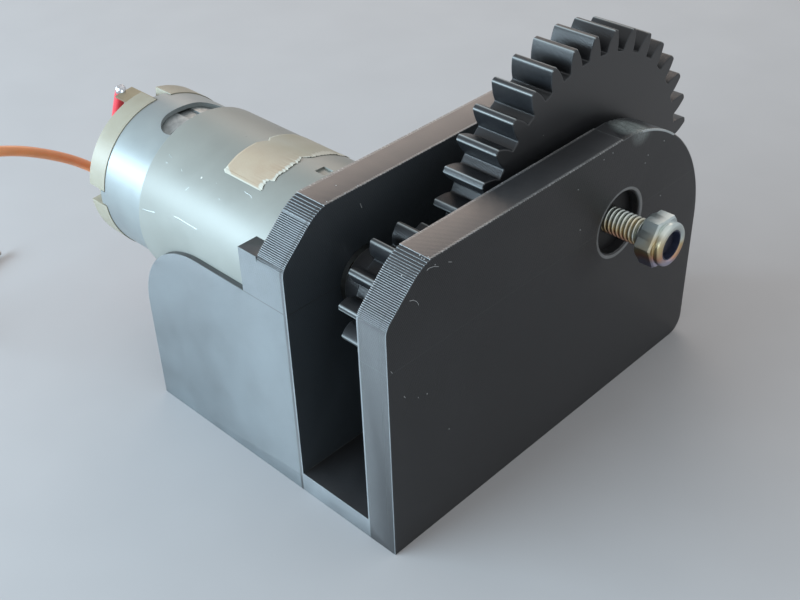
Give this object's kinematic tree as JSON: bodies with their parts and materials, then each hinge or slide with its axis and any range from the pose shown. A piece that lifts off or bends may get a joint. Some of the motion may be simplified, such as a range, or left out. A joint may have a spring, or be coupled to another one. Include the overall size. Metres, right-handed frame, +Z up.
{
  "type": "geared dc motor",
  "caption": "Brushed DC motor in a printed channel bracket, turning a large spur gear on a threaded output bolt through a small pinion.",
  "frame": {"origin": "on the bracket's underside, below the output bolt's axis and midway between the gear plates", "axes": "+X along the gear plates away from the motor, +Y from the output nut towards the motor, +Z up"},
  "size_m": [0.1383, 0.1668, 0.0821],
  "materials": {
    "black_print": "satin black PLA, printed in layers",
    "black_bush": "black polymer bearing material",
    "zinc_plate": "zinc plated and passivated steel",
    "blue_nylon": "blue nylon",
    "zinc_can": "satin zinc plated sheet steel",
    "ferrite": "sintered ferrite",
    "spring_steel": "spring steel",
    "bronze": "oil-filled sintered bronze",
    "cream_plastic": "moulded cream plastic",
    "brass": "stamped brass",
    "carbon": "carbon brush",
    "solder": "bright solder",
    "shaft_steel": "ground steel",
    "lamination_steel": "stacked electrical steel",
    "enamelled_copper": "enamelled copper wire",
    "copper": "copper",
    "fibre": "fibre and phenolic insulation",
    "paper_label": "torn paper sticker, bare",
    "red_insulation": "silicone insulation",
    "orange_insulation": "silicone insulation",
    "tinned_copper": "tinned copper strands"
  },
  "bodies": {
    "root": {"gearbox_bracket": "black_print", "outer_bush": "black_bush", "inner_bush": "black_bush", "motor_can": "zinc_can", "flux_ring": "zinc_can", "field_magnets": "ferrite", "magnet_clips": "spring_steel", "front_bearing": "bronze", "rear_bearing": "bronze", "end_bell": "cream_plastic", "brush_holders": "brass", "carbon_brushes": "carbon", "brush_springs": "spring_steel", "terminals": "brass", "solder_joints": "solder", "motor_label": "paper_label", "red_lead": "red_insulation", "orange_lead": "orange_insulation", "red_lead_end": "tinned_copper", "orange_lead_end": "tinned_copper"},
    "output": {"output_bolt": "zinc_plate", "output_gear": "black_print", "gear_nut": "zinc_plate", "near_shim": "zinc_plate", "spacer_sleeve": "black_bush", "lock_nut": "zinc_plate", "lock_nut_insert": "blue_nylon"},
    "rotor": {"motor_shaft": "shaft_steel", "motor_pinion": "black_print", "lamination_stack": "lamination_steel", "windings": "enamelled_copper", "front_sleeve": "fibre", "rear_sleeve": "fibre", "commutator_core": "fibre", "commutator_segments": "copper"}
  },
  "joints": [
    {"name": "output_spin", "type": "hinge", "parent": "root", "child": "output", "pos_m": [0, 0, 0.0441], "axis": [0, -1, 0], "continuous": true},
    {"name": "rotor_spin", "type": "hinge", "parent": "root", "child": "rotor", "pos_m": [-0.048, 0, 0.0441], "axis": [0, -1, 0], "continuous": true}
  ],
  "couplings": [
    {"joint": "rotor_spin", "follows": "output_spin", "ratio": -3}
  ]
}
